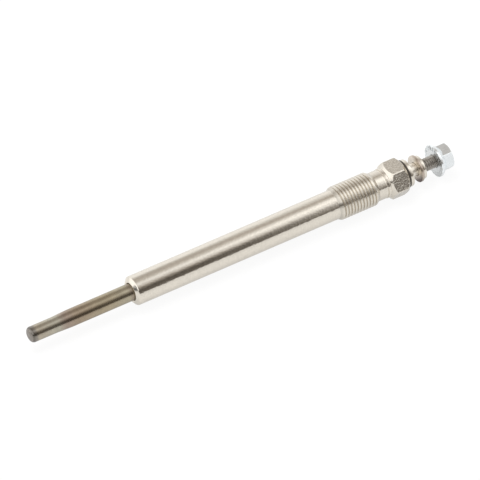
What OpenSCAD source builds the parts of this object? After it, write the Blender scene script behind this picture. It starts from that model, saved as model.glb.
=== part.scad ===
// Diesel glow plug with a metal sheath, an M10 x 1 body thread and an M4 terminal stud.
// The plug lies on its side. Its axis runs along X, the heated tip points to -X, and one
// flat of the body's hexagon faces down. The origin lies under the middle of its length.

/* [Glow tube] */
// Outside diameter of the tube where it leaves the body
tube_d = 5.1; // [4.9:0.1:5.6]
// Outside diameter of the thinner heated tip
tip_d = 4.7; // [4.2:0.1:4.8]
// Length of the thinner tip, with its round end
tip_l = 8; // [6:0.1:16]
// Radius that rounds the edge of the closed end
tip_round = 1.1; // [0.8:0.1:1.9]
// Length of the cone between the thinner tip and the full tube
taper_l = 5; // [2:0.1:8]
// Wall thickness of the tube
tube_wall = 0.8; // [0.5:0.05:0.9]
// Thickness of the closed end, where the heating coil is welded
tip_wall = 1.5; // [1.2:0.1:2.5]
// Length of tube that stands out of the body
tube_reach = 33; // [28:0.5:60]
// Length of tube that is pressed into the body
tube_grip_l = 22; // [16:0.5:30]

/* [Heater coils] */
// Wire diameter of the heating coil
heat_wire_d = 0.35; // [0.25:0.05:0.4]
// Turns of the heating coil
heat_turns = 8; // [5:1:10]
// Pitch of the heating coil
heat_pitch = 1; // [0.8:0.05:1.2]
// Wire diameter of the control coil
control_wire_d = 0.4; // [0.3:0.05:0.45]
// Turns of the control coil
control_turns = 11; // [8:1:14]
// Pitch of the control coil
control_pitch = 1.25; // [0.9:0.05:1.4]
// Thickness of powder between the coils and the tip's wall
coil_cover = 0.25; // [0.15:0.05:0.3]
// Diameter of the weld that joins the heating coil to the closed end
weld_d = 0.6; // [0.5:0.05:0.65]
// Distance from the closed end to the start of the heating coil
weld_l = 0.8; // [0.5:0.1:1.5]
// Turns of the control coil that grip the nose of the stud
nose_turns = 2; // [1:1:4]

/* [Body] */
// Diameter of the long plain shank
shank_d = 8.7; // [8.2:0.1:8.8]
// Length of the shank, from its end face to the thread
shank_l = 66.5; // [40:0.5:110]
// Width of the bevel at the mouth of the tube's bore
mouth_bevel = 0.3; // [0.1:0.05:0.4]
// Width of the flat ring round that bevel at the shank's end
seat_land = 0.3; // [0.2:0.1:0.9]
// Length of the cone that seals the plug in the cylinder head
seat_l = 0.9; // [0.6:0.1:2.5]
// Outside diameter of the body thread
thread_d = 10; // [9.5:0.5:12]
// Length of the threaded band, with its two end cones
thread_l = 13.2; // [8:0.1:24]
// Length of the cone at the thread's start and of the one at its end
thread_cone_l = 1.1; // [0.6:0.1:2]
// Diameter of the neck between thread and hexagon
neck_d = 8.6; // [8:0.1:8.8]
// Length of the neck
neck_l = 3; // [2:0.1:10]
// Length of the collar between neck and hexagon
collar_l = 0.8; // [0.4:0.1:2]
// Step from the neck up to that collar
collar_step = 0.15; // [0.05:0.05:0.3]
// Size of the hexagon across its flats
hex_af = 10; // [10:0.5:13]
// Length of the hexagon, with its end cones
hex_l = 5.9; // [5:0.1:12]
// Depth that is turned off the hexagon's sharp corners
hex_corner_cut = 0.1; // [0.05:0.05:0.3]
// Length of the cone on the hexagon's tip side
hex_front_l = 1.3; // [0.8:0.1:2]
// Length of the cone on the hexagon's terminal side
hex_back_l = 0.9; // [0.4:0.1:1.4]
// Step by which the hexagon's end face stays inside its flats
hex_face_step = 0.3; // [0.1:0.05:0.5]
// Step by which the long bore is wider than the tube
bore_step = 0.4; // [0.2:0.1:0.6]

/* [Terminal] */
// Diameter of the stud inside the body
pin_d = 2.7; // [2.4:0.1:3]
// Diameter of the stud's thick outer end
stud_d = 4; // [3.5:0.1:4.4]
// Step from the thick end down to its thread
stud_thread_step = 0.05; // [0.02:0.01:0.1]
// Length of the stud's thread
stud_thread_l = 10; // [8:0.5:10.5]
// Length of the stud's end chamfer
stud_chamfer = 0.5; // [0.3:0.1:0.8]
// Depth of the stud's end inside the flange nut
stud_recess = 0.5; // [0.2:0.1:1]
// Length of the thick end that lies behind the seal pocket
stud_lead_l = 2; // [1:0.5:6]
// Length of the rubber seal in the tube's open end
tube_seal_l = 4; // [2:0.5:6]
// Thickness of the ring seal's round section
ring_w = 1.4; // [1.1:0.1:1.6]
// Depth of the pocket that holds the ring seal
pocket_l = 4.5; // [3:0.1:5.5]
// Diameter of the insulating washer
insulator_d = 8.4; // [7.6:0.1:9]
// Thickness of the insulating washer outside the body
insulator_t = 0.9; // [0.5:0.1:2]
// Diameter of the round nut
round_nut_d = 8.1; // [6.5:0.1:9]
// Thickness of the round nut
round_nut_t = 1.1; // [0.8:0.1:3]

/* [Nut and washers] */
// Plain stretch of stud between the round nut and the flat washer
bare_stud_l = 2.5; // [0.5:0.1:2.8]
// Diameter of the flat washer
flat_washer_d = 8; // [7.5:0.1:9]
// Thickness of the flat washer
flat_washer_t = 0.8; // [0.5:0.1:1.2]
// Diameter of the split spring washer
spring_washer_d = 7; // [6.6:0.1:7.6]
// Thickness of the split spring washer
spring_washer_t = 0.9; // [0.7:0.1:1.4]
// Distance that one end of the split washer rises above the other
spring_rise = 0.2; // [0.1:0.1:1]
// Angle that the gap in the split washer takes up
spring_gap = 12; // [8:1:30]
// Stretch of thread between the spring washer and the flange nut
bare_thread_l = 4.2; // [1:0.1:5]
// Size of the flange nut across its flats
nut_af = 7; // [6.5:0.5:8]
// Height of the flange nut
nut_h = 4.9; // [4.4:0.1:6]
// Depth that is turned off the nut's sharp corners
nut_corner_cut = 0.05; // [0.05:0.05:0.3]
// Length of the cone at the nut's outer end
nut_cone_l = 0.5; // [0.3:0.1:0.8]
// Diameter of the nut's flange
flange_d = 9.6; // [9.2:0.1:10]
// Thickness of the flange at its rim
flange_rim_t = 0.7; // [0.5:0.1:1.2]
// Height of the cone from the rim up into the hexagon's flats
flange_cone_l = 1.7; // [0.8:0.1:2]
// Teeth cut in the flange's clamping face
flange_teeth = 20; // [12:1:24]
// Depth of those teeth
tooth_depth = 0.2; // [0.1:0.05:0.3]
// Width of the cut between two teeth
tooth_cut_w = 0.8; // [0.5:0.1:0.9]
// Turn of the nut about the stud, against the body's hexagon
nut_turn = 6; // [0:1:59]

/* [Fits] */
// Clearance on each side of a pressed or packed fit
press_gap = 0.01; // [0.005:0.005:0.02]
// Clearance on each side of a pushed or screwed fit
slip_gap = 0.02; // [0.01:0.01:0.05]
// Play on each side between the stud and a loose washer
washer_play = 0.12; // [0.05:0.01:0.2]
// Small bevel on turned edges
edge_bevel = 0.15; // [0.1:0.05:0.2]

/* [Hidden] */
$fn = 64;

// Slack that carries a cut past the face it opens through
past = 1;

// Places along the axis, counted from the closed tip
tube_end = tube_reach + tube_grip_l;
tube_seal_x = tube_end - tube_seal_l;
thread_x = tube_reach + shank_l;
neck_x = thread_x + thread_l;
collar_x = neck_x + neck_l;
hex_x = collar_x + collar_l;
hex_end = hex_x + hex_l;
pocket_x = hex_end - pocket_l;
stud_x = pocket_x - stud_lead_l;
round_nut_x = hex_end + insulator_t;
flat_washer_x = round_nut_x + round_nut_t + bare_stud_l;
spring_washer_x = flat_washer_x + flat_washer_t;
nut_x = spring_washer_x + spring_washer_t + spring_rise + bare_thread_l;
plug_l = nut_x + nut_h;
stud_end = plug_l - stud_recess;

// The tube's inside and the coils that fit in it
tube_bore_r = tube_d / 2 - tube_wall;
tip_bore_r = tip_d / 2 - tube_wall;
coil_r = tip_bore_r - coil_cover - max(heat_wire_d, control_wire_d) / 2;
heat_x = tip_wall + weld_l;
control_x = heat_x + heat_turns * heat_pitch;
coil_end = control_x + control_turns * control_pitch;
nose_r = coil_r - control_wire_d / 2 - slip_gap;
nose_x = coil_end - nose_turns * control_pitch;
pin_x = coil_end + control_wire_d;

// Radii of the body and of the pieces on the stud
grip_r = tube_d / 2 + press_gap;
bore_r = grip_r + bore_step;
mouth_r = grip_r + mouth_bevel;
seat_r = mouth_r + seat_land;
collar_r = neck_d / 2 + collar_step;
stud_r = stud_d / 2;
stud_thread_r = stud_r - stud_thread_step;
stud_bore_r = stud_r + slip_gap;
pocket_r = stud_r + ring_w + 2 * press_gap;
hex_corner_r = hex_af / 2 / cos(30) - hex_corner_cut;
nut_corner_r = nut_af / 2 / cos(30) - nut_corner_cut;
washer_bore_r = stud_r + washer_play;

// Height of the axis when the plug lies on its widest piece
axis_z = max(hex_af, thread_d, shank_d, flange_d) / 2;

// Puts a shape that stands on its Z axis onto the plug's axis, x from the tip
module on_axis(x = 0) {
    translate([x - plug_l / 2, 0, axis_z])
        rotate([0, 90, 0])
            children();
}

// Round piece turned from a half outline of [radius, length] points
module turned(outline) {
    rotate_extrude()
        polygon(outline);
}

// Flat ring with bevelled edges
module bevelled_ring(inner_r, outer_r, thickness) {
    turned([[inner_r + edge_bevel, 0],
            [outer_r - edge_bevel, 0],
            [outer_r, edge_bevel],
            [outer_r, thickness - edge_bevel],
            [outer_r - edge_bevel, thickness],
            [inner_r + edge_bevel, thickness],
            [inner_r, thickness - edge_bevel],
            [inner_r, edge_bevel]]);
}

// Hexagon bar with a flat facing down, trimmed by a turned outline
module turned_hexagon(across_flats, length, outline) {
    intersection() {
        rotate([0, 0, 30])
            cylinder(d = across_flats / cos(30), h = length, $fn = 6);
        turned(outline);
    }
}

// Half outline of the tube's outside, with its closed end rounded
module tube_outline() {
    round_x = tip_d / 2 - tip_round;
    polygon([[0, tip_round],
             [tip_d / 2, tip_round],
             [tip_d / 2, tip_l],
             [tube_d / 2, tip_l + taper_l],
             [tube_d / 2, tube_end],
             [0, tube_end]]);
    square([round_x, tip_round]);
    intersection() {
        translate([round_x, tip_round])
            circle(r = tip_round);
        square([tip_d / 2, tip_round]);
    }
}

// Room inside the tube from its closed end to a given place, less a gap at the wall
module tube_room(end_x, gap) {
    turned([[0, tip_wall + gap],
            [tip_bore_r - gap, tip_wall + gap],
            [tip_bore_r - gap, tip_l],
            [tube_bore_r - gap, tip_l + taper_l],
            [tube_bore_r - gap, end_x],
            [0, end_x]]);
}

// Coil made of half rings, each tilted so that it meets the next with no kink
module coil(turns, pitch, wire_d) {
    tilt = atan(pitch / 4 / coil_r);
    ring_r = norm([coil_r, pitch / 4]);
    for (half = [0 : 2 * turns - 1])
        translate([0, 0, pitch * (2 * half + 1) / 4])
            rotate([0, tilt, 180 * half])
                rotate_extrude(angle = 180)
                    translate([ring_r, 0])
                        circle(d = wire_d);
}

// Heating coil with the weld that holds its first turn to the closed end
module heating_wire(gap) {
    on_axis(heat_x) {
        coil(heat_turns, heat_pitch, heat_wire_d + 2 * gap);
        translate([coil_r, 0, -weld_l])
            cylinder(d = weld_d + 2 * gap, h = weld_l + heat_wire_d);
    }
}

module control_wire(gap) {
    on_axis(control_x)
        coil(control_turns, control_pitch, control_wire_d + 2 * gap);
}

// Room that the stud takes up inside the tube
module pin_room(gap) {
    on_axis(nose_x - gap)
        cylinder(r = nose_r + gap, h = pin_x - nose_x + past);
    on_axis(pin_x - gap)
        cylinder(r = pin_d / 2 + gap, h = tube_end - pin_x + past);
}

// Heat-resistant sheath, closed at the tip and pressed into the body
module glow_tube() {
    color("#6f675a")
        difference() {
            on_axis()
                rotate_extrude()
                    tube_outline();
            on_axis()
                tube_room(tube_end + past, 0);
        }
}

// Coil that glows, welded to the closed tip
module heating_coil() {
    color("#8c8478")
        heating_wire(0);
}

// Coil that limits the current, between the heating coil and the stud
module control_coil() {
    color("#9a9aa0")
        control_wire(0);
}

// Packed ceramic powder that holds the coils and carries their heat
module filling_powder() {
    color("#ece8dc")
        difference() {
            on_axis()
                tube_room(tube_seal_x, press_gap);
            pin_room(slip_gap);
            heating_wire(press_gap);
            control_wire(press_gap);
        }
}

// Rubber plug round the stud in the tube's open end
module tube_seal() {
    color("#2b2624")
        on_axis(tube_seal_x)
            bevelled_ring(pin_d / 2 + press_gap, tube_bore_r - press_gap, tube_seal_l);
}

// Centre pin: a nose for the coil, a long thin shaft and a thick threaded end
module terminal_stud() {
    color("#8d8a86")
        on_axis()
            turned([[0, nose_x],
                    [nose_r, nose_x],
                    [nose_r, pin_x],
                    [pin_d / 2, pin_x],
                    [pin_d / 2, stud_x],
                    [stud_r, stud_x],
                    [stud_r, stud_end - stud_thread_l],
                    [stud_thread_r, stud_end - stud_thread_l],
                    [stud_thread_r, stud_end - stud_chamfer],
                    [stud_thread_r - stud_chamfer, stud_end],
                    [0, stud_end]]);
}

// Outside of the body from its seat to the collar, turned in one go
module body_turning() {
    turned([[0, tube_reach],
            [seat_r, tube_reach],
            [shank_d / 2, tube_reach + seat_l],
            [shank_d / 2, thread_x],
            [thread_d / 2, thread_x + thread_cone_l],
            [thread_d / 2, neck_x - thread_cone_l],
            [neck_d / 2, neck_x],
            [neck_d / 2, collar_x],
            [collar_r, collar_x],
            [collar_r, hex_x],
            [0, hex_x]]);
}

// Hexagon at the terminal end, coned at both ends
module body_hexagon() {
    turned_hexagon(hex_af, hex_l,
        [[0, 0],
         [collar_r, 0],
         [hex_corner_r, hex_front_l],
         [hex_corner_r, hex_l - hex_back_l],
         [hex_af / 2 - hex_face_step, hex_l],
         [0, hex_l]]);
}

// Nickel-plated steel body with its stepped bore
module plug_body() {
    color("#cdc6b9")
        difference() {
            union() {
                on_axis()
                    body_turning();
                on_axis(hex_x)
                    body_hexagon();
            }
            on_axis(tube_reach - past)
                cylinder(r = grip_r, h = tube_grip_l + 2 * past);
            on_axis(tube_reach - past)
                cylinder(r1 = mouth_r + past, r2 = grip_r, h = past + mouth_bevel);
            on_axis(tube_end)
                cylinder(r = bore_r, h = hex_end - tube_end + past);
            on_axis(pocket_x)
                cylinder(r = pocket_r, h = pocket_l + past);
        }
}

// Rubber ring that seals the stud at the bottom of the body's pocket
module ring_seal() {
    color("#1f1d1c")
        on_axis(pocket_x + ring_w / 2)
            rotate_extrude()
                translate([(stud_r + pocket_r) / 2, 0])
                    circle(d = ring_w);
}

// Black insulator with a sleeve that keeps the stud off the body
module insulating_washer() {
    sleeve_l = pocket_l - ring_w;
    color("#2a2624")
        on_axis(hex_end)
            turned([[stud_bore_r, -sleeve_l],
                    [pocket_r - slip_gap, -sleeve_l],
                    [pocket_r - slip_gap, 0],
                    [insulator_d / 2, 0],
                    [insulator_d / 2, insulator_t],
                    [stud_bore_r, insulator_t]]);
}

// Plated nut that clamps the insulator and the ring seal
module round_nut() {
    color("#d8d2c6")
        on_axis(round_nut_x)
            bevelled_ring(stud_bore_r, round_nut_d / 2, round_nut_t);
}

// Loose flat washer for the cable's eye
module flat_washer() {
    color("#b9ab98")
        on_axis(flat_washer_x)
            bevelled_ring(washer_bore_r, flat_washer_d / 2, flat_washer_t);
}

// Corners of the split washer's section at one step of its turn
function spring_section(turn) =
    let (lift = spring_rise * (turn - spring_gap / 2) / (360 - spring_gap))
    [for (corner = [[washer_bore_r, 0],
                    [spring_washer_d / 2, 0],
                    [spring_washer_d / 2, spring_washer_t],
                    [washer_bore_r, spring_washer_t]])
        [corner[0] * cos(turn), corner[0] * sin(turn), corner[1] + lift]];

// Loose split spring washer, one open turn of a flat helix
module spring_washer() {
    steps = 72;
    sections = [for (i = [0 : steps])
        spring_section(spring_gap / 2 + (360 - spring_gap) * i / steps)];
    points = [for (section = sections) each section];
    sides = [for (i = [0 : steps - 1], k = [0 : 3])
        [4 * i + k, 4 * i + (k + 1) % 4, 4 * i + 4 + (k + 1) % 4, 4 * i + 4 + k]];
    first_end = [3, 2, 1, 0];
    last_end = [for (k = [0 : 3]) 4 * steps + k];
    color("#c4b8a6")
        on_axis(spring_washer_x)
            polyhedron(points, concat(sides, [first_end, last_end]));
}

// Slanted cuts that leave teeth on the flange's clamping face
module flange_tooth_cuts() {
    for (tooth = [0 : flange_teeth - 1])
        rotate([0, 0, 360 * tooth / flange_teeth])
            translate([nut_af / 2, 0, 0])
                rotate([90, 0, 90])
                    linear_extrude(flange_d)
                        polygon([[0, -past], [tooth_cut_w, -past], [tooth_cut_w, 0], [0, tooth_depth]]);
}

// Zinc-plated hexagon nut with a toothed flange towards the washers
module flange_nut() {
    cone_end = flange_rim_t + flange_cone_l;
    color("#dfe3e4")
        on_axis(nut_x)
            rotate([0, 0, nut_turn])
                difference() {
                    union() {
                        turned([[0, 0],
                                [flange_d / 2 - edge_bevel, 0],
                                [flange_d / 2, edge_bevel],
                                [flange_d / 2, flange_rim_t],
                                [nut_af / 2 - edge_bevel, cone_end],
                                [0, cone_end]]);
                        turned_hexagon(nut_af, nut_h,
                            [[0, flange_rim_t],
                             [nut_corner_r, flange_rim_t],
                             [nut_corner_r, nut_h - nut_cone_l],
                             [nut_af / 2 - edge_bevel, nut_h],
                             [0, nut_h]]);
                    }
                    translate([0, 0, -past])
                        cylinder(r = stud_bore_r, h = nut_h + 2 * past);
                    flange_tooth_cuts();
                }
}

glow_tube();
heating_coil();
control_coil();
filling_powder();
tube_seal();
terminal_stud();
plug_body();
ring_seal();
insulating_washer();
round_nut();
flat_washer();
spring_washer();
flange_nut();
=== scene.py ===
import math

import bpy
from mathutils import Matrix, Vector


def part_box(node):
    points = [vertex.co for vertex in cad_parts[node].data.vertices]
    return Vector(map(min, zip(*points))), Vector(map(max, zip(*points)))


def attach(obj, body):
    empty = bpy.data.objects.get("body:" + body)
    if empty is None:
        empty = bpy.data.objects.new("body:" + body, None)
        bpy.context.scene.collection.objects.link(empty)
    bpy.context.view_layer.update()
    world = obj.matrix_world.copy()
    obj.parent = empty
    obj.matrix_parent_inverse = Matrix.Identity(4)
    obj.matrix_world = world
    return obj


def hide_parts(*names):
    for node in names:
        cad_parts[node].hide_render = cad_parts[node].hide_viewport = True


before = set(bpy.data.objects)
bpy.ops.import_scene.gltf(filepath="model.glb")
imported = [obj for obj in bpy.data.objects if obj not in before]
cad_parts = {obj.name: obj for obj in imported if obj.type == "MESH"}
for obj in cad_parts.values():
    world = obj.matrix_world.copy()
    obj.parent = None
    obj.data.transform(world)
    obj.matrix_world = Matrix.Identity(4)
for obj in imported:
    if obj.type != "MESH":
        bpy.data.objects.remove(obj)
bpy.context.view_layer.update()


# Glow tube: the heat-proof alloy sheath that reaches into the engine, swaged thinner over its
# heated end and closed with a rounded tip. It is pressed into the body, and its test glow has
# tinted it brown and olive, with a paler grey at the tip.
MM = 0.001
WELD = 0.001 * MM
ROUND_STEPS = 96
SMOOTH_DEG = 25
TIP_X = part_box("glow_tube")[0].x
AXIS_Z = (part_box("plug_body")[0].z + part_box("plug_body")[1].z) / 2


def span(node):
    """Start, end and radius of a round CAD node in mm, counted along the axis from the tip."""
    low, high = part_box(node)
    return (low.x - TIP_X) / MM, (high.x - TIP_X) / MM, (high.y - low.y) / 2 / MM


def arc(x, r, radius, start_deg, end_deg, steps):
    """Points of a round stretch of an outline about the centre (x, r)."""
    turns = [math.radians(start_deg + (end_deg - start_deg) * i / steps) for i in range(steps + 1)]
    return [(x + radius * math.cos(turn), r + radius * math.sin(turn)) for turn in turns]


def draw_outline(name, points):
    """Starts a piece as one vertex and extrudes it along (x, radius) points in mm."""
    bpy.ops.object.select_all(action="DESELECT")
    bpy.ops.mesh.primitive_plane_add(size=MM)
    piece = bpy.context.object
    piece.name = piece.data.name = name
    bpy.ops.object.mode_set(mode="EDIT")
    bpy.ops.mesh.select_all(action="SELECT")
    bpy.ops.mesh.merge(type="CENTER")
    bpy.ops.transform.translate(value=(points[0][0] * MM, points[0][1] * MM, 0))
    for (x, r), (next_x, next_r) in zip(points, points[1:]):
        step = ((next_x - x) * MM, (next_r - r) * MM, 0)
        bpy.ops.mesh.extrude_region_move(TRANSFORM_OT_translate={"value": step})
    bpy.ops.mesh.select_all(action="SELECT")
    return piece


def close_mesh():
    """Merges doubled points in edit mode, turns the faces outwards and leaves edit mode."""
    bpy.ops.mesh.select_all(action="SELECT")
    bpy.ops.mesh.remove_doubles(threshold=WELD)
    bpy.ops.mesh.normals_make_consistent(inside=False)
    bpy.ops.object.mode_set(mode="OBJECT")


def turn_outline(name, points):
    """Turns a half outline about the axis, as on a lathe."""
    piece = draw_outline(name, points)
    bpy.ops.mesh.remove_doubles(threshold=WELD)
    bpy.ops.mesh.spin(steps=ROUND_STEPS, angle=2 * math.pi, center=(0, 0, 0), axis=(1, 0, 0))
    close_mesh()
    return piece


def pick(*pieces):
    """Selects these pieces only, and makes the first one active."""
    bpy.ops.object.select_all(action="DESELECT")
    for piece in pieces:
        piece.select_set(True)
    bpy.context.view_layer.objects.active = pieces[0]


def lay_on_axis(piece):
    """Moves a piece made about X, with x from the tip, to its place in the plug."""
    pick(piece)
    piece.location = (TIP_X, 0, AXIS_Z)
    bpy.ops.object.transform_apply(location=True, rotation=True, scale=True)
    bpy.ops.object.shade_smooth_by_angle(angle=math.radians(SMOOTH_DEG))


tip_d = 4.7
tip_round = 1.1
tip_l = 8
taper_l = 5
tube_wall = 0.8
tip_wall = 1.5
_, tube_end, tube_r = span("glow_tube")
tip_r = tip_d / 2

tube_outline = [(0, 0)]
tube_outline += arc(tip_round, tip_r - tip_round, tip_round, 180, 90, 16)
tube_outline += [(tip_l, tip_r),
                 (tip_l + taper_l, tube_r),
                 (tube_end, tube_r),
                 (tube_end, tube_r - tube_wall),
                 (tip_l + taper_l, tube_r - tube_wall),
                 (tip_l, tip_r - tube_wall),
                 (tip_wall, tip_r - tube_wall),
                 (tip_wall, 0)]
tube = turn_outline("tube_skin", tube_outline)
lay_on_axis(tube)


def new_material(name):
    """Makes a node material and gives its tree and its Principled shader."""
    material = bpy.data.materials.new(name)
    material.use_nodes = True
    tree = material.node_tree
    return material, tree, tree.nodes["Principled BSDF"]


def add_node(tree, kind, **values):
    """Adds a node, sets its properties and unlinked inputs by name, and links node outputs given."""
    node = tree.nodes.new(kind)
    for name, value in values.items():
        if hasattr(node, name):
            setattr(node, name, value)
        elif isinstance(value, bpy.types.NodeSocket):
            tree.links.new(value, node.inputs[name.replace("_", " ")])
        else:
            node.inputs[name.replace("_", " ")].default_value = value
    return node


def calculate(tree, operation, *terms):
    """Math node on numbers or sockets."""
    node = tree.nodes.new("ShaderNodeMath")
    node.operation = operation
    for place, term in zip(node.inputs, terms):
        if isinstance(term, bpy.types.NodeSocket):
            tree.links.new(term, place)
        else:
            place.default_value = term
    return node.outputs[0]


def add_ramp(tree, value, stops, smooth=True):
    """Colour ramp over a value, from (place, colour) stops."""
    node = tree.nodes.new("ShaderNodeValToRGB")
    ramp = node.color_ramp
    ramp.interpolation = "EASE" if smooth else "LINEAR"
    while len(ramp.elements) < len(stops):
        ramp.elements.new(1)
    for element, (place, colour) in zip(ramp.elements, stops):
        element.position = place
        element.color = (*colour, 1)
    tree.links.new(value, node.inputs[0])
    return node.outputs[0]


def grey(level):
    """Colour with equal red, green and blue."""
    return (level, level, level)


def group_tree(name, inputs, outputs):
    """Starts a shader node group with float inputs (with defaults) and float outputs."""
    tree = bpy.data.node_groups.new(name, "ShaderNodeTree")
    for socket, default in inputs.items():
        made = tree.interface.new_socket(socket, in_out="INPUT", socket_type="NodeSocketFloat")
        made.default_value = default
    for socket in outputs:
        tree.interface.new_socket(socket, in_out="OUTPUT", socket_type="NodeSocketFloat")
    return tree, tree.nodes.new("NodeGroupInput"), tree.nodes.new("NodeGroupOutput")


# Lathe marks run round the axis: they follow the length on a cylinder and the radius on a face.
PATCH_W = 1.5
lathe_marks, marks_in, marks_out = group_tree("lathe_marks", {"Spacing": 0.2},
                                              ["Rings", "Patches", "Radius"])
marks_place = lathe_marks.nodes.new("ShaderNodeTexCoord").outputs["Object"]
marks_split = add_node(lathe_marks, "ShaderNodeSeparateXYZ", Vector=marks_place).outputs
marks_up = calculate(lathe_marks, "SUBTRACT", marks_split["Z"], AXIS_Z)
marks_flat = add_node(lathe_marks, "ShaderNodeCombineXYZ", Y=marks_split["Y"], Z=marks_up).outputs[0]
marks_radius = add_node(lathe_marks, "ShaderNodeVectorMath", operation="LENGTH", Vector=marks_flat)
marks_along = calculate(lathe_marks, "ADD", marks_split["X"], marks_radius.outputs["Value"])
marks_count = calculate(lathe_marks, "DIVIDE", marks_along, MM)
marks_count = calculate(lathe_marks, "DIVIDE", marks_count, marks_in.outputs["Spacing"])
marks_rings = add_node(lathe_marks, "ShaderNodeTexNoise", noise_dimensions="1D", W=marks_count,
                       Scale=1.0, Detail=3.0, Roughness=0.6)
marks_patches = add_node(lathe_marks, "ShaderNodeTexNoise", Vector=marks_place,
                         Scale=1 / (PATCH_W * MM), Detail=4.0, Roughness=0.6)
lathe_marks.links.new(marks_rings.outputs[0], marks_out.inputs["Rings"])
lathe_marks.links.new(marks_patches.outputs[0], marks_out.inputs["Patches"])
lathe_marks.links.new(marks_radius.outputs["Value"], marks_out.inputs["Radius"])


def add_marks(tree, spacing):
    """Places the lathe marks group and gives its outputs."""
    node = tree.nodes.new("ShaderNodeGroup")
    node.node_tree = lathe_marks
    node.inputs["Spacing"].default_value = spacing
    return node.outputs


NOISE_LOW = 0.25
NOISE_HIGH = 0.75


def between(tree, value, low, high):
    """Maps the stretch that noise mostly keeps to onto a range."""
    return add_node(tree, "ShaderNodeMapRange", Value=value, From_Min=NOISE_LOW, From_Max=NOISE_HIGH,
                    To_Min=low, To_Max=high).outputs[0]


def tint(tree, colour, value, low, high):
    """Multiplies a colour by a value mapped from low to high."""
    node = tree.nodes.new("ShaderNodeMix")
    node.data_type = "RGBA"
    node.blend_type = "MULTIPLY"
    node.inputs["Factor"].default_value = 1
    if isinstance(colour, bpy.types.NodeSocket):
        tree.links.new(colour, node.inputs["A"])
    else:
        node.inputs["A"].default_value = (*colour, 1)
    shade = between(tree, value, low, high)
    tree.links.new(shade, node.inputs["B"])
    return node.outputs["Result"]


def bump(tree, shader, height, depth):
    """Feeds a height, times a depth in metres, to the shader's normal."""
    node = add_node(tree, "ShaderNodeBump", Height=height, Strength=1.0, Distance=depth)
    tree.links.new(node.outputs["Normal"], shader.inputs["Normal"])


def dress(piece, material, slot, *nodes):
    """Gives a finished piece its material and the CAD nodes that it stands for. Its slot is not used."""
    piece.data.materials.clear()
    piece.data.materials.append(material)
    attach(piece, "root")
    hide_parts(*nodes)


tube_mark_w = 0.35
tube_mark_depth = 0.004
dent_w = 0.7
dent_depth = 0.16
heat_tint, tree, shader = new_material("heat_tinted_alloy")
body_start = span("plug_body")[0]
place = tree.nodes.new("ShaderNodeTexCoord").outputs["Object"]
from_tip = add_node(tree, "ShaderNodeSeparateXYZ", Vector=place).outputs["X"]
along = add_node(tree, "ShaderNodeMapRange", Value=from_tip, From_Min=TIP_X,
                 From_Max=TIP_X + body_start * MM).outputs[0]
marks = add_marks(tree, tube_mark_w)
bands = add_ramp(tree, along, [(0.0, (0.25, 0.225, 0.2)),
                               (0.003, (0.33, 0.3, 0.27)),
                               (0.012, (0.19, 0.175, 0.155)),
                               (0.035, (0.28, 0.255, 0.225)),
                               (0.07, (0.45, 0.40, 0.32)),
                               (0.26, (0.47, 0.44, 0.36)),
                               (0.31, (0.41, 0.345, 0.285)),
                               (0.34, (0.37, 0.295, 0.24)),
                               (0.46, (0.375, 0.30, 0.22)),
                               (0.72, (0.40, 0.34, 0.24)),
                               (0.95, (0.42, 0.375, 0.28)),
                               (0.985, (0.34, 0.285, 0.225)),
                               (1.0, (0.30, 0.26, 0.20))])
tree.links.new(tint(tree, bands, marks["Patches"], 0.85, 1.1), shader.inputs["Base Color"])
tree.links.new(between(tree, marks["Rings"], 0.2, 0.28), shader.inputs["Roughness"])
shader.inputs["Metallic"].default_value = 1
dents = add_node(tree, "ShaderNodeTexNoise", Vector=place, Scale=1 / (dent_w * MM),
                 Detail=1.0).outputs[0]
near_tip = add_node(tree, "ShaderNodeMapRange", Value=from_tip, From_Min=TIP_X + tip_round * MM,
                    From_Max=TIP_X, To_Max=dent_depth * MM).outputs[0]
dents = calculate(tree, "MULTIPLY", dents, near_tip)
rings = calculate(tree, "MULTIPLY", marks["Rings"], tube_mark_depth * MM)
bump(tree, shader, calculate(tree, "ADD", dents, rings), 1.0)
dress(tube, heat_tint, "heat_tinted_alloy", "glow_tube")


# Inner pieces: two wire coils in series, packed in pale ceramic powder, with a rubber plug in
# the tube's mouth and a rubber ring in the body. They stay as built, and get their finish here.
def dress_inner(node, material):
    """Gives a CAD node that stays showing its material."""
    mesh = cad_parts[node].data
    mesh.materials.clear()
    mesh.materials.append(material)


GRAIN_SLOPE = 0.02


def inner_finish(name, colour, metallic, rough_low, rough_high, grain):
    """Plain finish with a fine grain in its colour, roughness and surface."""
    material, tree, shader = new_material(name)
    place = tree.nodes.new("ShaderNodeTexCoord").outputs["Object"]
    noise = add_node(tree, "ShaderNodeTexNoise", Vector=place, Scale=1 / (grain * MM),
                     Detail=4.0).outputs[0]
    tree.links.new(tint(tree, colour, noise, 0.85, 1.1), shader.inputs["Base Color"])
    tree.links.new(between(tree, noise, rough_low, rough_high), shader.inputs["Roughness"])
    shader.inputs["Metallic"].default_value = metallic
    bump(tree, shader, noise, GRAIN_SLOPE * grain * MM)
    return material


coil_wire = inner_finish("coil_wire", (0.55, 0.52, 0.48), 1.0, 0.25, 0.4, 0.15)
packed_powder = inner_finish("packed_powder", (0.85, 0.82, 0.76), 0.0, 0.8, 0.95, 0.1)
black_rubber = inner_finish("black_rubber", (0.03, 0.027, 0.024), 0.0, 0.55, 0.75, 0.3)
dress_inner("heating_coil", coil_wire)
dress_inner("control_coil", coil_wire)
dress_inner("filling_powder", packed_powder)
dress_inner("tube_seal", black_rubber)
dress_inner("ring_seal", black_rubber)


# Plug body: one steel bar turned to a seat cone, a long shank, a rolled M10 x 1 thread, a neck
# and a hexagon, drilled with a stepped bore and plated with warm bright nickel.
EASE_STEPS = 4
LEG_SHARE = 0.45


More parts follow.
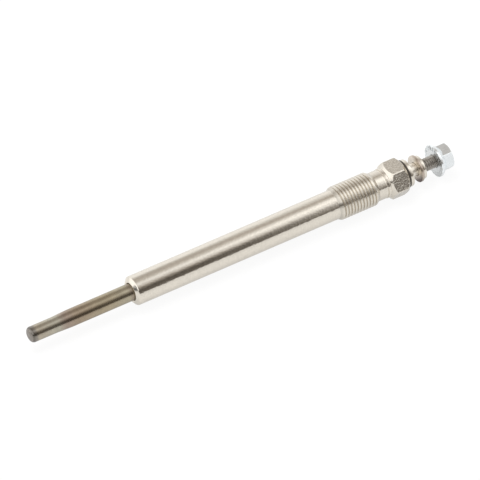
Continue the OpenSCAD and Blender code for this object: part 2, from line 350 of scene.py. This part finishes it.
def ease_corners(points, radius):
    """Rounds every corner of an outline but its two ends, as a deburred edge is."""
    eased = [points[0]]
    for before, corner, after in zip(points, points[1:], points[2:]):
        ends = []
        for other in (before, after):
            leg = math.dist(corner, other)
            share = min(radius, LEG_SHARE * leg) / leg
            ends.append([c + (o - c) * share for c, o in zip(corner, other)])
        for i in range(EASE_STEPS + 1):
            t = i / EASE_STEPS
            eased.append(tuple((1 - t) ** 2 * a + 2 * t * (1 - t) * c + t ** 2 * b
                               for a, c, b in zip(ends[0], corner, ends[1])))
    return eased + [points[-1]]


def roll_thread(name, start, end, pitch, crest_w, root_w, crest_r, root_r, top, bottom):
    """Sleeve with a helical thread, held between the outlines top(x) and bottom(x) at its ends."""
    flank = (pitch - crest_w - root_w) / 2
    first = start - pitch
    stops = [(0, root_r),
             (root_w / 2, root_r),
             (root_w / 2 + flank / 2, (root_r + crest_r) / 2),
             (root_w / 2 + flank, crest_r),
             (root_w / 2 + flank + crest_w, crest_r),
             (root_w / 2 + 1.5 * flank + crest_w, (root_r + crest_r) / 2),
             (pitch - root_w / 2, root_r),
             (pitch, root_r)]
    sleeve = draw_outline(name, [(first + x, r) for x, r in stops])
    bpy.ops.object.mode_set(mode="OBJECT")
    screw = sleeve.modifiers.new("helix", "SCREW")
    screw.axis = "X"
    screw.angle = 2 * math.pi
    screw.screw_offset = pitch * MM
    screw.steps = screw.render_steps = ROUND_STEPS
    screw.iterations = math.ceil((end - start) / pitch) + 1
    bpy.ops.object.modifier_apply(modifier=screw.name)
    for point in sleeve.data.vertices:
        x = min(max(point.co.x / MM, start), end)
        r = math.hypot(point.co.y, point.co.z) / MM
        share = min(max(r, bottom(x)), top(x)) / r
        point.co = (x * MM, point.co.y * share, point.co.z * share)
    bpy.ops.object.mode_set(mode="EDIT")
    close_mesh()
    return sleeve


def weld_together(*pieces):
    """Joins pieces that share their edge circles into one closed skin."""
    pick(*pieces)
    bpy.ops.object.join()
    bpy.ops.object.mode_set(mode="EDIT")
    close_mesh()
    return pieces[0]


def hexagon_bar(across_flats, start, end):
    """Hexagon bar about the axis with a flat facing down, longer than the piece that it trims."""
    spare = 1
    corner_r = across_flats / 2 / math.cos(math.pi / 6)
    bpy.ops.object.select_all(action="DESELECT")
    bpy.ops.mesh.primitive_cylinder_add(vertices=6, radius=corner_r * MM,
                                        depth=(end - start + 2 * spare) * MM,
                                        location=((start + end) / 2 * MM, 0, 0),
                                        rotation=(0, math.pi / 2, 0))
    bpy.ops.object.transform_apply(location=True, rotation=True, scale=True)
    return bpy.context.object


def trim(piece, tool, operation):
    """Boolean of a piece with a tool that is then thrown away."""
    pick(piece)
    cut = piece.modifiers.new("trim", "BOOLEAN")
    cut.operation = operation
    cut.solver = "EXACT"
    cut.object = tool
    bpy.ops.object.modifier_apply(modifier=cut.name)
    bpy.data.objects.remove(tool)


shank_r = 8.7 / 2
shank_ease = 0.3
seat_l = 0.9
seat_land = 0.3
mouth_bevel = 0.3
shank_l = 66.5
thread_r = 10 / 2
thread_pitch = 1.0
thread_depth = 0.42
thread_crest_w = 0.42
thread_root_w = 0.1
thread_l = 13.2
thread_cone_l = 1.1
thread_lead_l = 0.6
thread_runout_l = 0.5
neck_r = 8.6 / 2
neck_l = 3
neck_ease = 0.25
collar_l = 0.8
collar_h = 0.15
collar_r = neck_r + collar_h
collar_groove = 0.12
collar_groove_w = 0.3
hex_af = 10
hex_corner_cut = 0.1
hex_front_l = 1.3
hex_back_l = 0.9
hex_face_step = 0.3
press_gap = 0.01
bore_step = 0.4
pocket_l = 4.5
ring_room = 1.42
same_place = 0.01

body_end = span("plug_body")[1]
grip_r = tube_r + press_gap
bore_r = grip_r + bore_step
thread_x = body_start + shank_l
neck_x = thread_x + thread_l
collar_x = neck_x + neck_l
hex_x = collar_x + collar_l
hex_r = hex_af / 2
hex_corner_r = hex_r / math.cos(math.pi / 6) - hex_corner_cut
pocket_x = body_end - pocket_l
stud_r = span("terminal_stud")[2]
pocket_r = stud_r + ring_room


def thread_top(x):
    """Outline that the thread's crests reach: a cone, the full thread and a cone down to the neck."""
    rise = shank_r + (thread_r - shank_r) * (x - thread_x) / thread_cone_l
    fall = neck_r + (thread_r - neck_r) * (neck_x - x) / thread_cone_l
    return min(rise, thread_r, fall)


def thread_bottom(x):
    """Floor of the thread's grooves, which start on the front cone and run out before the rear one."""
    share = min(x - thread_x - thread_lead_l, neck_x - x - thread_cone_l) / thread_runout_l
    return thread_top(x) - thread_depth * min(max(share, 0), 1)


shank = turn_outline("shank_skin", ease_corners([(hex_x, bore_r),
                                                 (tube_end, bore_r),
                                                 (tube_end, grip_r),
                                                 (body_start + mouth_bevel, grip_r),
                                                 (body_start, grip_r + mouth_bevel),
                                                 (body_start, grip_r + mouth_bevel + seat_land),
                                                 (body_start + seat_l, shank_r),
                                                 (thread_x, shank_r)], shank_ease))
body_thread = roll_thread("body_thread", thread_x, neck_x, thread_pitch, thread_crest_w,
                          thread_root_w, thread_r, thread_r - thread_depth, thread_top, thread_bottom)
neck = turn_outline("neck_skin", ease_corners([(neck_x, neck_r),
                                               (collar_x - collar_groove_w, neck_r),
                                               (collar_x, neck_r - collar_groove),
                                               (collar_x, collar_r),
                                               (hex_x, collar_r),
                                               (hex_x, collar_r - collar_groove)], neck_ease))
hexagon = turn_outline("hexagon_skin", [(hex_x, bore_r),
                                        (hex_x, collar_r - collar_groove),
                                        (hex_x + hex_front_l, hex_corner_r),
                                        (body_end - hex_back_l, hex_corner_r),
                                        (body_end, hex_r - hex_face_step),
                                        (body_end, pocket_r),
                                        (pocket_x, pocket_r),
                                        (pocket_x, bore_r),
                                        (hex_x, bore_r)])
trim(hexagon, hexagon_bar(hex_af, hex_x, body_end), "INTERSECT")
bpy.ops.object.mode_set(mode="EDIT")
bpy.ops.mesh.select_all(action="DESELECT")
bpy.ops.object.mode_set(mode="OBJECT")
for face in hexagon.data.polygons:
    face.select = abs(face.center.x / MM - hex_x) < same_place
bpy.ops.object.mode_set(mode="EDIT")
bpy.ops.mesh.delete(type="FACE")
bpy.ops.object.mode_set(mode="OBJECT")
body = weld_together(shank, body_thread, neck, hexagon)
body.name = body.data.name = "body_skin"
lay_on_axis(body)


nickel_colour = (0.785, 0.735, 0.65)
nickel_mark_w = 0.25
nickel_mark_depth = 0.003
groove_h = 0.5
flat_area = 0.5
flat_lean = 0.01


def nickel_plate(name, rough_low, rough_high, grain, grain_depth, grain_shade, groove_r=0.0,
                 groove_shade=1.0):
    """Warm bright nickel over fine lathe marks, with a grain, and darker towards a groove's bottom."""
    material, tree, shader = new_material(name)
    marks = add_marks(tree, nickel_mark_w)
    place = tree.nodes.new("ShaderNodeTexCoord").outputs["Object"]
    spots = add_node(tree, "ShaderNodeTexNoise", Vector=place, Scale=1 / (grain * MM),
                     Detail=2.0).outputs[0]
    colour = tint(tree, nickel_colour, marks["Rings"], 0.95, 1.03)
    colour = tint(tree, colour, marks["Patches"], 0.94, 1.03)
    colour = tint(tree, colour, spots, grain_shade, 1.03)
    height = add_node(tree, "ShaderNodeMapRange", Value=marks["Radius"], From_Min=groove_r * MM,
                      From_Max=(groove_r + groove_h) * MM, To_Min=NOISE_LOW, To_Max=NOISE_HIGH).outputs[0]
    tree.links.new(tint(tree, colour, height, groove_shade, 1.0), shader.inputs["Base Color"])
    tree.links.new(between(tree, marks["Patches"], rough_low, rough_high), shader.inputs["Roughness"])
    shader.inputs["Metallic"].default_value = 1
    rings = calculate(tree, "MULTIPLY", marks["Rings"], nickel_mark_depth * MM)
    grains = calculate(tree, "MULTIPLY", spots, grain_depth * MM)
    bump(tree, shader, calculate(tree, "ADD", rings, grains), 1.0)
    return material


nickel = nickel_plate("nickel_plate", rough_low=0.12, rough_high=0.17, grain=0.5, grain_depth=0.032,
                      grain_shade=0.95)
hexagon_nickel = nickel_plate("hexagon_nickel", rough_low=0.1, rough_high=0.18, grain=0.45,
                              grain_depth=0.056, grain_shade=0.72)
thread_nickel = nickel_plate("thread_nickel", rough_low=0.19, rough_high=0.26, grain=0.5,
                             grain_depth=0.032, grain_shade=0.97, groove_r=thread_r - thread_depth,
                             groove_shade=0.82)
dress(body, nickel, "nickel_plate", "plug_body")
body.data.materials.append(hexagon_nickel)
body.data.materials.append(thread_nickel)
for face in body.data.polygons:
    face_x = (face.center.x - TIP_X) / MM
    on_flat = abs(face.normal.x) < flat_lean and face.area > flat_area * MM * MM
    if on_flat and face_x > hex_x:
        face.material_index = 1
    elif thread_x < face_x < neck_x:
        face.material_index = 2


# Insulating washer: a black moulded insulator behind the hexagon, with a sleeve that reaches
# into the body and keeps the stud off it.
insulator_start, insulator_end, insulator_r = span("insulating_washer")
slip_gap = 0.02
insulator_ease = 0.15
insulator = turn_outline("insulator_skin", ease_corners([(insulator_start, stud_r + slip_gap),
                                                         (insulator_start, pocket_r - slip_gap),
                                                         (body_end, pocket_r - slip_gap),
                                                         (body_end, insulator_r),
                                                         (insulator_end, insulator_r),
                                                         (insulator_end, stud_r + slip_gap),
                                                         (insulator_start, stud_r + slip_gap)],
                                                        insulator_ease))
lay_on_axis(insulator)
black_insulator = inner_finish("black_insulator", (0.045, 0.036, 0.027), 0.0, 0.55, 0.75, 0.4)
dress(insulator, black_insulator, "black_insulator", "insulating_washer")


# Round nut: a thin nut turned from steel and nickel-plated like the body. It is screwed down the
# stud on to the insulator, which it holds in place.
round_start, round_end, round_r = span("round_nut")
round_ease = 0.2
round_nut = turn_outline("round_nut_skin", ease_corners([(round_start, stud_r + slip_gap),
                                                         (round_start, round_r),
                                                         (round_end, round_r),
                                                         (round_end, stud_r + slip_gap),
                                                         (round_start, stud_r + slip_gap)],
                                                        round_ease))
lay_on_axis(round_nut)
dress(round_nut, nickel, "nickel_plate", "round_nut")


# Terminal stud: the centre pin that carries the current from the terminal to the control coil,
# turned from steel, with a rolled M4 thread at its outer end.
nose_r = 0.88
nose_l = 2.9
pin_r = 2.7 / 2
stud_lead_l = 2
stud_thread_l = 10
stud_thread_under = 0.05
stud_pitch = 0.7
stud_thread_depth = 0.32
stud_crest_w = 0.09
stud_root_w = 0.17
stud_chamfer = 0.5
nose_x, stud_end, _ = span("terminal_stud")
stud_thread_r = stud_r - stud_thread_under
stud_thread_x = stud_end - stud_thread_l
stud_x = pocket_x - stud_lead_l


def stud_top(x):
    """Outline of the thread's crests, with the chamfer at the stud's end."""
    return min(stud_thread_r, stud_thread_r - stud_chamfer + stud_end - x)


def stud_bottom(x):
    """Outline of the groove's floor, which runs out at the plain part of the stud."""
    return stud_thread_r - stud_thread_depth * min((x - stud_thread_x) / stud_pitch, 1)


pin = turn_outline("pin_skin", [(nose_x, 0),
                                (nose_x, nose_r),
                                (nose_x + nose_l, nose_r),
                                (nose_x + nose_l, pin_r),
                                (stud_x, pin_r),
                                (stud_x, stud_r),
                                (stud_thread_x, stud_r),
                                (stud_thread_x, stud_thread_r)])
stud_thread = roll_thread("stud_thread", stud_thread_x, stud_end, stud_pitch, stud_crest_w,
                          stud_root_w, stud_thread_r, stud_thread_r - stud_thread_depth, stud_top,
                          stud_bottom)
stud_tip = turn_outline("stud_tip", [(stud_end, stud_thread_r - stud_chamfer), (stud_end, 0)])
stud = weld_together(pin, stud_thread, stud_tip)
stud.name = stud.data.name = "stud_skin"
lay_on_axis(stud)

stud_mark_w = 0.2
stud_mark_depth = 0.002
# Where the painted shade on the stud's thread starts and is full, in mm past the thread's start.
dark_from = 0.1
dark_to = 0.7
stud_steel, tree, shader = new_material("stud_steel")
marks = add_marks(tree, stud_mark_w)
place = tree.nodes.new("ShaderNodeTexCoord").outputs["Object"]
along = add_node(tree, "ShaderNodeSeparateXYZ", Vector=place).outputs["X"]
along = add_node(tree, "ShaderNodeMapRange", Value=along,
                 From_Min=TIP_X + (stud_thread_x + dark_from) * MM,
                 From_Max=TIP_X + (stud_thread_x + dark_to) * MM).outputs[0]
# Painted shade: the thread is coloured darker than the plain pin, for the shade in its grooves.
colour = add_ramp(tree, along, [(0, (0.92, 0.87, 0.78)), (1, (0.46, 0.435, 0.40))])
tree.links.new(tint(tree, colour, marks["Patches"], 0.85, 1.1), shader.inputs["Base Color"])
tree.links.new(add_ramp(tree, along, [(0, grey(0.36)), (1, grey(0.4))]), shader.inputs["Roughness"])
shader.inputs["Metallic"].default_value = 1
bump(tree, shader, marks["Rings"], stud_mark_depth * MM)
dress(stud, stud_steel, "stud_steel", "terminal_stud")


# Flat washer: punched from plated steel strip, so its edges are rounded, and tarnished since. Its
# colour turns darker towards its lower front edge, which is painted shade. It sits loose on the
# stud to clamp the cable's eye.
washer_play = 0.12
washer_r = stud_r + washer_play
washer_ease = 0.2
flat_start, flat_end, flat_r = span("flat_washer")
flat_washer = turn_outline("flat_washer_skin", ease_corners([(flat_start, washer_r),
                                                             (flat_start, flat_r),
                                                             (flat_end, flat_r),
                                                             (flat_end, washer_r),
                                                             (flat_start, washer_r)],
                                                            washer_ease))
lay_on_axis(flat_washer)


# Painted shade on the washers deepens towards their lower front edge, at this turn about the axis.
shade_turn = math.radians(45)
tarnish_spacing = 0.3
tarnish_depth = 0.02
rim_lean = 0.6
rim_share = 0.9


def washer_finish(name, colour, shade_colour):
    """Tarnished plating with soft spots, and painted shade in another colour towards its lower front
    edge.
    """
    material, tree, shader = new_material(name)
    marks = add_marks(tree, tarnish_spacing)
    place = tree.nodes.new("ShaderNodeTexCoord").outputs["Object"]
    height = add_node(tree, "ShaderNodeVectorMath", operation="DOT_PRODUCT", Vector=place)
    height.inputs[1].default_value = (0, math.cos(shade_turn), math.sin(shade_turn))
    axis_height = AXIS_Z * math.sin(shade_turn)
    share = add_node(tree, "ShaderNodeMapRange", Value=height.outputs["Value"],
                     From_Min=axis_height - flat_r * MM, From_Max=axis_height).outputs[0]
    # Painted shade: the second colour takes over towards the lower front edge.
    shaded_colour = add_ramp(tree, share, [(0.1, shade_colour), (0.65, colour)])
    tree.links.new(tint(tree, shaded_colour, marks["Patches"], 0.7, 1.1), shader.inputs["Base Color"])
    tree.links.new(between(tree, marks["Patches"], 0.2, 0.35), shader.inputs["Roughness"])
    shader.inputs["Metallic"].default_value = 1
    bump(tree, shader, marks["Patches"], tarnish_depth * MM)
    return material


# The second colour of each washer finish is painted shade, milder on the rim.
washer_steel = washer_finish("washer_steel", (0.77, 0.7, 0.61), (0.13, 0.09, 0.08))
dress(flat_washer, washer_steel, "washer_steel", "flat_washer")
washer_rim = washer_finish("washer_rim", (0.6, 0.51, 0.43), (0.5, 0.44, 0.38))
flat_washer.data.materials.append(washer_rim)
for face in flat_washer.data.polygons:
    face_r = math.hypot(face.center.y, face.center.z - AXIS_Z) / MM
    if abs(face.normal.x) < rim_lean and face_r > rim_share * flat_r:
        face.material_index = 1


# Spring washer: one turn of rectangular spring wire, cut through and twisted so that its ends
# stand apart along the axis. It sits loose on the stud against the flat washer.
spring_r = 7 / 2
spring_t = 0.9
spring_rise = 0.2
spring_gap = math.radians(12)
spring_ease = 0.15
spring_start = span("spring_washer")[0]
spring = draw_outline("spring_skin", [(spring_start, washer_r),
                                      (spring_start, spring_r),
                                      (spring_start + spring_t, spring_r),
                                      (spring_start + spring_t, washer_r),
                                      (spring_start, washer_r)])
bpy.ops.mesh.remove_doubles(threshold=WELD)
bpy.ops.object.mode_set(mode="OBJECT")
spring.rotation_euler.x = spring_gap / 2 - math.pi / 2
bpy.ops.object.transform_apply(rotation=True)
screw = spring.modifiers.new("turn", "SCREW")
screw.axis = "X"
screw.angle = 2 * math.pi - spring_gap
screw.screw_offset = spring_rise * MM
screw.steps = screw.render_steps = ROUND_STEPS
bpy.ops.object.modifier_apply(modifier=screw.name)
bpy.ops.object.mode_set(mode="EDIT")
bpy.ops.mesh.select_all(action="SELECT")
bpy.ops.mesh.fill_holes(sides=4)
close_mesh()
soften = spring.modifiers.new("soften", "BEVEL")
soften.width = spring_ease * MM
soften.segments = 3
soften.limit_method = "ANGLE"
bpy.ops.object.modifier_apply(modifier=soften.name)
lay_on_axis(spring)
dress(spring, nickel, "washer_steel", "spring_washer")


# Flange nut: a cold-formed hexagon nut with a flange, toothed on its clamping face so that it
# bites into the washer. It is plated with bright bluish zinc.
nut_start, nut_end, flange_r = span("flange_nut")
nut_af = 7
nut_corner_cut = 0.05
nut_cone_l = 0.5
flange_rim_t = 0.7
flange_cone_l = 1.7
flange_teeth = 20
tooth_depth = 0.2
tooth_cut_w = 0.8
nut_turn = math.radians(6)
nut_bevel = 0.15
nut_bore_r = stud_r + slip_gap
nut_corner_r = nut_af / 2 / math.cos(math.pi / 6) - nut_corner_cut
nut_hex_x = nut_start + flange_rim_t
flange_top_x = nut_hex_x + flange_cone_l
cut_past = 1
flange = turn_outline("nut_skin", ease_corners([(nut_start, 0),
                                                (nut_start, flange_r),
                                                (nut_hex_x, flange_r),
                                                (flange_top_x, nut_af / 2 - nut_bevel),
                                                (flange_top_x, 0)], nut_bevel))
nut_hexagon = turn_outline("nut_hexagon", [(nut_hex_x, 0),
                                           (nut_hex_x, nut_corner_r),
                                           (nut_end - nut_cone_l, nut_corner_r),
                                           (nut_end, nut_af / 2 - nut_bevel),
                                           (nut_end, 0)])
trim(nut_hexagon, hexagon_bar(nut_af, nut_hex_x, nut_end), "INTERSECT")
trim(flange, nut_hexagon, "UNION")
nut_bore = turn_outline("nut_bore", [(nut_start - cut_past, 0),
                                     (nut_start - cut_past, nut_bore_r + nut_bevel + cut_past),
                                     (nut_start + nut_bevel, nut_bore_r),
                                     (nut_end - nut_bevel, nut_bore_r),
                                     (nut_end + cut_past, nut_bore_r + nut_bevel + cut_past),
                                     (nut_end + cut_past, 0)])
trim(flange, nut_bore, "DIFFERENCE")

bpy.ops.object.select_all(action="DESELECT")
bpy.ops.mesh.primitive_cube_add(size=MM)
tooth_cut = bpy.context.object
cut_l = 3
for corner in tooth_cut.data.vertices:
    far = corner.co.x > 0
    side = corner.co.z > 0
    depth = tooth_depth * (not side) if far else -cut_past
    radius = nut_af / 2 + cut_l * (corner.co.y > 0)
    corner.co = ((nut_start + depth) * MM, radius * MM, tooth_cut_w * side * MM)
bpy.ops.object.mode_set(mode="EDIT")
bpy.ops.mesh.select_all(action="SELECT")
bpy.ops.mesh.spin(steps=flange_teeth - 1, dupli=True, angle=2 * math.pi * (1 - 1 / flange_teeth),
                  center=(0, 0, 0), axis=(1, 0, 0))
bpy.ops.mesh.select_all(action="SELECT")
bpy.ops.mesh.normals_make_consistent(inside=False)
bpy.ops.object.mode_set(mode="OBJECT")
trim(flange, tooth_cut, "DIFFERENCE")
flange.rotation_euler.x = nut_turn
lay_on_axis(flange)

zinc_spacing = 0.7
zinc_depth = 0.005
facing_washer = -0.5


def zinc_plate(name, colour, ring_shade, rough_low, rough_high):
    """Bluish zinc with soft patches, and rings about the axis that are dulled to the given shade."""
    material, tree, shader = new_material(name)
    marks = add_marks(tree, zinc_spacing)
    colour = tint(tree, colour, marks["Patches"], 0.93, 1.04)
    tree.links.new(tint(tree, colour, marks["Rings"], ring_shade, 1.04), shader.inputs["Base Color"])
    tree.links.new(between(tree, marks["Patches"], rough_low, rough_high), shader.inputs["Roughness"])
    shader.inputs["Metallic"].default_value = 1
    bump(tree, shader, marks["Patches"], zinc_depth * MM)
    return material


bright_zinc = zinc_plate("zinc_plate", (0.89, 0.925, 0.94), ring_shade=0.97, rough_low=0.14,
                         rough_high=0.22)
scuffed_zinc = zinc_plate("scuffed_zinc", (0.9, 0.925, 0.93), ring_shade=0.62, rough_low=0.2,
                          rough_high=0.35)
dress(flange, bright_zinc, "zinc_plate", "flange_nut")
flange.data.materials.append(scuffed_zinc)
for face in flange.data.polygons:
    if face.normal.x < facing_washer:
        face.material_index = 1


# Floor: a plain white table that keeps a faint shadow under the plug. The plating mirrors it a
# little dimmer than the lens sees it.
floor_w = 12
lens_white = 0.91
mirror_white = 0.75
mirror_level = 0.8
bpy.ops.object.select_all(action="DESELECT")
bpy.ops.mesh.primitive_plane_add(size=floor_w)
floor = bpy.context.object
floor.name = "floor"
floor_white, tree, shader = new_material("floor_white")
shader.inputs["Base Color"].default_value = (0.95, 0.95, 0.95, 1)
shader.inputs["Roughness"].default_value = 0.9
rays = tree.nodes.new("ShaderNodeLightPath").outputs
mirrored = calculate(tree, "ADD", rays["Is Glossy Ray"], rays["Is Transmission Ray"])
seen = calculate(tree, "MULTIPLY", rays["Is Camera Ray"], lens_white)
seen = calculate(tree, "MULTIPLY_ADD", mirrored, mirror_white, seen)
level = calculate(tree, "MULTIPLY_ADD", mirrored, mirror_level, rays["Is Camera Ray"])
white = add_node(tree, "ShaderNodeEmission", Strength=level).outputs[0]
mixed = tree.nodes.new("ShaderNodeMixShader")
tree.links.new(seen, mixed.inputs[0])
tree.links.new(shader.outputs[0], mixed.inputs[1])
tree.links.new(white, mixed.inputs[2])
tree.links.new(mixed.outputs[0], tree.nodes["Material Output"].inputs["Surface"])
floor.data.materials.append(floor_white)


# Light tent: a white cloth arch over the table that lights the plug softly from all round. It
# is brightest overhead and towards the terminal, with a dark slot in front where the lens looks in.
tent_r = 0.35
tent_start = -0.95
tent_l = 2.3
tent_steps = 60
half_turn = 180
bpy.ops.object.select_all(action="DESELECT")
bpy.ops.mesh.primitive_plane_add(size=MM)
tent = bpy.context.object
tent.name = "light_tent"
bpy.ops.object.mode_set(mode="EDIT")
bpy.ops.mesh.select_all(action="SELECT")
bpy.ops.mesh.merge(type="CENTER")
bpy.ops.transform.translate(value=(tent_start, -tent_r, 0))
bpy.ops.mesh.extrude_region_move(TRANSFORM_OT_translate={"value": (tent_l, 0, 0)})
bpy.ops.mesh.select_all(action="SELECT")
bpy.ops.mesh.spin(steps=tent_steps, angle=math.pi, center=(0, 0, 0), axis=(1, 0, 0))
bpy.ops.object.mode_set(mode="OBJECT")
tent.visible_camera = False

tent_light, tree, shader = new_material("tent_light")
place = tree.nodes.new("ShaderNodeTexCoord").outputs["Object"]
split = add_node(tree, "ShaderNodeSeparateXYZ", Vector=place).outputs
front = calculate(tree, "MULTIPLY", split["Y"], -1.0)
turn = calculate(tree, "ARCTAN2", split["Z"], front)
turn = calculate(tree, "DIVIDE", turn, math.pi)

# Where the cloth's light changes: degrees up the arch from its front foot, and metres along the
# plug. The slot is the dark stretch in front, and the wing is the plain grey cloth past the tip.
slot_top = (45, 60)
slot_span = (0.1, 0.26)
top_span = (0.02, 0.26)
wing_edge = (28, 40)
wing_span = (-0.12, -0.3)
wing_level = 0.7
dim_warmth = 0.14
tip_side_levels = [(0, 0.95), (6, 0.95), (9, 0.14), (34, 0.09), (49, 0.28), (64, 0.64), (76, 0.98),
                   (80, 0.98), (95, 0.62), (105, 0.54), (130, 0.46), (151, 1.1), (180, 1.1)]
nut_side_levels = [(0, 1.0), (6, 1.0), (9, 0.1), (14, 0.13), (20, 0.52), (34, 0.79), (49, 1.2),
                   (56, 1.2), (75, 1.52), (87, 1.43), (110, 0.54), (120, 0.5), (130, 0.84),
                   (140, 0.86), (180, 1.2)]


def cloth_colour(level):
    """Half the light of the cloth at a level, warmer where it is dim."""
    warmth = dim_warmth * max(0, 1 - level)
    return (level * (1 + warmth) / 2, level / 2, level * (1 - warmth) / 2)


def blend(tree, share, first, second):
    """Mixes two colours by a share, each a socket or a plain colour."""
    node = tree.nodes.new("ShaderNodeMix")
    node.data_type = "RGBA"
    tree.links.new(share, node.inputs["Factor"])
    for place, colour in ((node.inputs["A"], first), (node.inputs["B"], second)):
        if isinstance(colour, bpy.types.NodeSocket):
            tree.links.new(colour, place)
        else:
            place.default_value = (*colour, 1)
    return node.outputs["Result"]


def across(tree, value, start, end):
    """Smooth step from 0 at start to 1 at end."""
    return add_node(tree, "ShaderNodeMapRange", interpolation_type="SMOOTHSTEP", Value=value,
                    From_Min=start, From_Max=end).outputs[0]


def cloth_ramp(tree, turn, levels):
    """Light of the cloth along the arch, from (degrees, level) stops that start at its front foot."""
    stops = [(degrees / half_turn, cloth_colour(level)) for degrees, level in levels]
    return add_ramp(tree, turn, stops, smooth=False)


tip_side = cloth_ramp(tree, turn, tip_side_levels)
nut_side = cloth_ramp(tree, turn, nut_side_levels)
above_slot = across(tree, turn, *[degrees / half_turn for degrees in slot_top])
nut_share = blend(tree, above_slot, across(tree, split["X"], *slot_span),
                  across(tree, split["X"], *top_span))
cloth = blend(tree, nut_share, tip_side, nut_side)
above_edge = across(tree, turn, *[degrees / half_turn for degrees in wing_edge])
wing = calculate(tree, "MULTIPLY", across(tree, split["X"], *wing_span), above_edge)
cloth = blend(tree, wing, cloth, grey(wing_level))
glow = add_node(tree, "ShaderNodeEmission", Color=cloth, Strength=2.0).outputs[0]
tree.links.new(glow, tree.nodes["Material Output"].inputs["Surface"])
tree.nodes.remove(shader)
tent.data.materials.append(tent_light)


# Room: the studio round the tent, which the plating sees only through the tent's open ends. It is
# bright past the nut and dim straight past the tip.
dim_patch = (-0.99, -0.94)
room_levels = (0.09, 1.0)
world = bpy.data.worlds.new("studio")
bpy.context.scene.world = world
world.use_nodes = True
tree = world.node_tree
direction = tree.nodes.new("ShaderNodeTexCoord").outputs["Generated"]
direction = add_node(tree, "ShaderNodeSeparateXYZ", Vector=direction).outputs["X"]
room = add_node(tree, "ShaderNodeMapRange", Value=direction, From_Min=dim_patch[0],
                From_Max=dim_patch[1], To_Min=room_levels[0], To_Max=room_levels[1])
tree.links.new(room.outputs[0], tree.nodes["Background"].inputs["Color"])


# Overhead lamp: a wide soft light above and behind the plug, which whitens the table and leaves
# a faint shadow in front of the plug. The plating mirrors the tent and not this lamp.
lamp_place = (-0.03, 0.1, 0.25)
lamp_tilt = -0.38
lamp_w = 0.22
lamp_watts = 0.8
bpy.ops.object.light_add(type="AREA", location=lamp_place, rotation=(lamp_tilt, 0, 0))
lamp = bpy.context.object
lamp.name = "overhead_lamp"
lamp.data.size = lamp_w
lamp.data.energy = lamp_watts
lamp.visible_camera = False
lamp.visible_glossy = False


# Camera: a long lens that looks down at the plug from its front left, aimed a little beside the
# axis so that the plug lies in the frame as in the photograph.
CAMERA_AZIMUTH = math.radians(-31.5)
CAMERA_ELEVATION = math.radians(44.7)
CAMERA_DISTANCE = 4
FRAME_WIDTH = 134.6 * MM
SENSOR_WIDTH = 36
axis_point = (-2.58 * MM, 0, AXIS_Z)
SHIFT_RIGHT = 2.241 * MM
SHIFT_UP = 2.295 * MM
to_camera = (math.sin(CAMERA_AZIMUTH) * math.cos(CAMERA_ELEVATION),
             -math.cos(CAMERA_AZIMUTH) * math.cos(CAMERA_ELEVATION),
             math.sin(CAMERA_ELEVATION))
right = (math.cos(CAMERA_AZIMUTH), math.sin(CAMERA_AZIMUTH), 0)
up = (-math.sin(CAMERA_AZIMUTH) * math.sin(CAMERA_ELEVATION),
      math.cos(CAMERA_AZIMUTH) * math.sin(CAMERA_ELEVATION),
      math.cos(CAMERA_ELEVATION))
aim = [p + SHIFT_RIGHT * a + SHIFT_UP * b for p, a, b in zip(axis_point, right, up)]
bpy.ops.object.camera_add(location=[a + CAMERA_DISTANCE * c for a, c in zip(aim, to_camera)],
                          rotation=(math.pi / 2 - CAMERA_ELEVATION, 0, CAMERA_AZIMUTH))
camera = bpy.context.object
camera.data.sensor_width = SENSOR_WIDTH
camera.data.lens = SENSOR_WIDTH * CAMERA_DISTANCE / FRAME_WIDTH
camera.data.clip_end = 5 * CAMERA_DISTANCE
bpy.context.scene.camera = camera
bpy.context.scene.view_settings.view_transform = "Standard"
